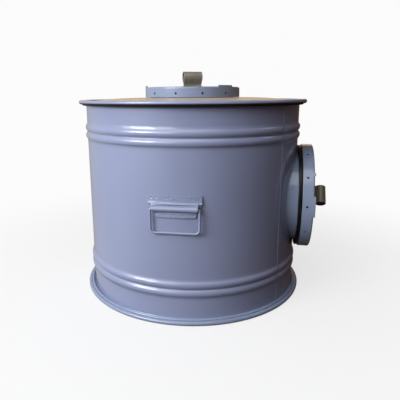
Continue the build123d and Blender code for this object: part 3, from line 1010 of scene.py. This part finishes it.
# The welds lie round the spigots' roots, a little proud of tube, lid and wall
WELD_PROUD = 0.3 * MM
LID_WELD = 1.5 * MM
WALL_WELD = 1.1 * MM
lid_ring = []
wall_ring = []
for turn in [2 * math.pi * step / SMALL_ROUND for step in range(SMALL_ROUND)]:
    reach = TOP_SPIGOT + WELD_PROUD
    lid_ring.append((reach * math.cos(turn), reach * math.sin(turn), LID_FACE + WELD_PROUD))
    reach = SIDE_SPIGOT + WELD_PROUD
    side = reach * math.cos(turn)
    wall_ring.append((math.sqrt(WALL ** 2 - side ** 2), side, SIDE_LEVEL + reach * math.sin(turn)))
dress(weld_bead("lid_spigot_weld", lid_ring, LID_WELD, cap_paint), "drum", "shell_paint", "top_spigot_weld")
dress(weld_bead("wall_spigot_weld", wall_ring, WALL_WELD, cap_paint), "drum", "shell_paint")


def cap(word, collar, drop, loop_height, seat, turn, loop_turn):
    """One cap on its seat: ring, dished disc and strap loop, each turned about the spigot."""
    body = word + "_cap"
    ring_place = seat @ Matrix.Rotation(math.radians(turn), 4, "Z")
    loop_place = seat @ Matrix.Rotation(math.radians(loop_turn), 4, "Z")
    dress(cap_ring(word + "_cap_band", collar, drop, ring_place), body, "shell_paint", word + "_cap_ring")
    dress(cap_disc(word + "_cap_dish", collar, ring_place), body, "shell_paint", word + "_cap_disc")
    dress(strap_loop(word + "_cap_strap", loop_height, loop_place), body, "loop_plating", word + "_cap_loop")


lid_seat_place = Matrix.Translation((0, 0, TOP_FACE))
wall_seat_place = across @ Matrix.Translation((0, 0, SIDE_FACE))
cap("top", TOP_SPIGOT + COLLAR_WALL, TOP_SKIRT, TOP_LOOP, lid_seat_place, TOP_TURN, TOP_LOOP_TURN)
cap("side", SIDE_SPIGOT + COLLAR_WALL, SIDE_SKIRT, SIDE_LOOP, wall_seat_place, SIDE_TURN, SIDE_LOOP_TURN)

for word, turn in (("front", HANDLE_TURN), ("back", HANDLE_TURN + math.pi)):
    dress(saddle_mesh(word + "_stamped_saddle", turn), "drum", "shell_paint", word + "_saddle")
    dress(bail_mesh(word + "_wire_bail", turn), word + "_handle", "wire_paint", word + "_bail")


# Camera: where the photograph was taken from, fitted to the drum's outline. Lengths in metres, angles in
# degrees, and the focal length and the shift of the frame in pixels of a frame 400 pixels wide
FRAME_SIZE = 400.0
FOCAL = 411.2
STAND_OFF = 1.0143
EYE = 0.4572
CAMERA_AZIMUTH = 10.51
YAW, PITCH, ROLL = -1.08, 12.67, -0.33
SHIFT_LEFT, SHIFT_UP = 15.0, 12.6
SENSOR = 36.0

camera_data = bpy.data.cameras.new("photo_camera")
camera = bpy.data.objects.new("photo_camera", camera_data)
bpy.context.scene.collection.objects.link(camera)
camera_data.sensor_width = SENSOR
camera_data.lens = SENSOR * FOCAL / FRAME_SIZE
camera_data.shift_x = SHIFT_LEFT / FRAME_SIZE
camera_data.shift_y = -SHIFT_UP / FRAME_SIZE
camera_data.clip_start = 0.02
azimuth = math.radians(CAMERA_AZIMUTH)
camera_place = Vector((STAND_OFF * math.sin(azimuth), -STAND_OFF * math.cos(azimuth), EYE))
facing = Matrix.Rotation(azimuth - math.radians(YAW), 4, "Z")
facing = facing @ Matrix.Rotation(math.radians(90 - PITCH), 4, "X")
facing = facing @ Matrix.Rotation(math.radians(ROLL), 4, "Z")
camera.matrix_world = Matrix.Translation(camera_place) @ facing
bpy.context.scene.camera = camera
bpy.context.scene.view_settings.view_transform = "Standard"


def softbox(name, bearing, lift, distance, width, height, power, colour):
    """An area light that faces the drum's middle, placed by its bearing from the front handle.

    Bearing and lift are in degrees, distance, width and height in metres, and power is in watts.
    """
    turn, rise = math.radians(bearing), math.radians(lift)
    flat = distance * math.cos(rise)
    place = MIDDLE + Vector((flat * math.sin(turn), -flat * math.cos(turn), distance * math.sin(rise)))
    data = bpy.data.lights.new(name, "AREA")
    data.shape = "RECTANGLE"
    data.size = width
    data.size_y = height
    data.energy = power
    data.color = colour
    light = bpy.data.objects.new(name, data)
    light.location = place
    light.rotation_euler = (MIDDLE - place).to_track_quat("-Z", "Y").to_euler()
    bpy.context.scene.collection.objects.link(light)
    light.visible_camera = False


# A tall window to the left of the camera, its panes apart by their bars, in a bright wall and under
# a pale ceiling
MIDDLE = Vector((0.0, 0.0, 0.24))
COOL_WHITE = (0.92, 0.96, 1.0)
DAYLIGHT_BLUE = (0.72, 0.84, 1.0)
LAMP_WHITE = (0.95, 0.96, 1.0)
WINDOW_BEARINGS = (-49.4, -40.9, -32.4)
WINDOW_LIFTS = (17.0, 29.0)
WINDOW_AWAY = 2.6
PANE_WIDTH, PANE_HEIGHT, PANE_POWER = 0.34, 0.48, 5.5
for column, bearing in enumerate(WINDOW_BEARINGS):
    for row, lift in enumerate(WINDOW_LIFTS):
        softbox("pane_%d_%d" % (column, row), bearing, lift, WINDOW_AWAY,
                PANE_WIDTH, PANE_HEIGHT, PANE_POWER, COOL_WHITE)
softbox("window_wall", -35.0, 24.0, 2.8, 2.8, 1.2, 36.0, COOL_WHITE)
softbox("pale_ceiling", -30.0, 60.0, 2.6, 3.2, 1.6, 16.0, COOL_WHITE)
softbox("side_door", 112.0, 46.0, 2.4, 0.5, 0.7, 2.0, DAYLIGHT_BLUE)
softbox("hall_lamps", 0.0, 50.0, 1.5, 1.8, 0.9, 4.5, LAMP_WHITE)

# Colours of the room that the paint mirrors, and of the backdrop that the camera sees
TAN = (0.66, 0.49, 0.33)
SUNLIT_TAN = (1.05, 0.76, 0.48)
PALE_LEFT = (0.50, 0.49, 0.50)
PALE_BACK = (0.66, 0.55, 0.51)
BROWN = (0.085, 0.061, 0.047)
DARK_FLOOR = (0.045, 0.024, 0.026)
BACKDROP = (0.97, 0.97, 0.97)


def hall_around():
    """The world: a brown hall, pale on the left, dark below and tan in the sun behind the drum."""
    world = bpy.data.worlds.new("studio")
    bpy.context.scene.world = world
    g = Graph(world)
    x, y, z = g.axes(g.node("ShaderNodeTexCoord", output=0))
    left_side = (x * -1.0).between(-0.15, 0.95)
    room = g.mix(left_side, BROWN, PALE_LEFT)
    right_side = x.between(-0.1, 0.5)
    below = (z * -1.0 + right_side * 0.60).between(0.45, 0.85)
    back_left = y.between(0.2, 0.8) * (x * -1.0).between(-0.1, 0.3)
    room = g.mix(below, room, g.mix(back_left, DARK_FLOOR, PALE_BACK))
    low_band = z.between(0.0, 0.03) * (1.0 - z.between(0.22, 0.45))
    far_wall = y.between(0.72, 0.90) * low_band * (1.0 - x.between(0.06, 0.20))
    room = g.mix(far_wall, room, TAN)
    room = g.mix(far_wall * z.between(0.03, 0.12), room, SUNLIT_TAN)
    seen = g.node("ShaderNodeLightPath", output=0)
    mirrored = g.node("ShaderNodeBackground", None, {"Color": room, "Strength": 1.0})
    behind = g.node("ShaderNodeBackground", None, {"Color": BACKDROP, "Strength": 1.0})
    either = g.node("ShaderNodeMixShader", None, {0: seen, 1: mirrored, 2: behind})
    g.node("ShaderNodeOutputWorld", None, {"Surface": either})


hall_around()

# The floor, in metres, and the share of its own glow near the drum, which leaves a faint shadow
FLOOR_REACH = 6.0
FLOOR_LEVEL = -0.2 * MM
FLOOR_GLOW = 0.75
SHADOW_REACH = (0.25, 1.1)


def pale_floor():
    """A wide pale floor that fades into the backdrop and takes a faint shadow."""
    made, g = material("pale_floor")
    x, y, _ = g.axes(g.place())
    far = ((x ** 2.0 + y ** 2.0) ** 0.5).between(*SHADOW_REACH)
    grain = g.noise(g.place(), 30.0, 3.0, 0.5)
    tint = g.mix(grain, (0.80, 0.80, 0.80), (0.86, 0.86, 0.86))
    matt = g.node("ShaderNodeBsdfDiffuse", None, {"Color": tint})
    glow = g.node("ShaderNodeEmission", None, {"Color": BACKDROP, "Strength": 1.0})
    blend = g.node("ShaderNodeMixShader", None, {0: far * (1.0 - FLOOR_GLOW) + FLOOR_GLOW, 1: matt, 2: glow})
    g.node("ShaderNodeOutputMaterial", None, {"Surface": blend})
    turns = [math.radians(degrees) for degrees in range(0, 360, 6)]
    points = [(FLOOR_REACH * math.cos(turn), FLOOR_REACH * math.sin(turn), FLOOR_LEVEL) for turn in turns]
    floor = object_from("floor", points, [tuple(range(len(points)))], made, closed=False)
    floor.visible_glossy = False
    floor.visible_diffuse = False


pale_floor()
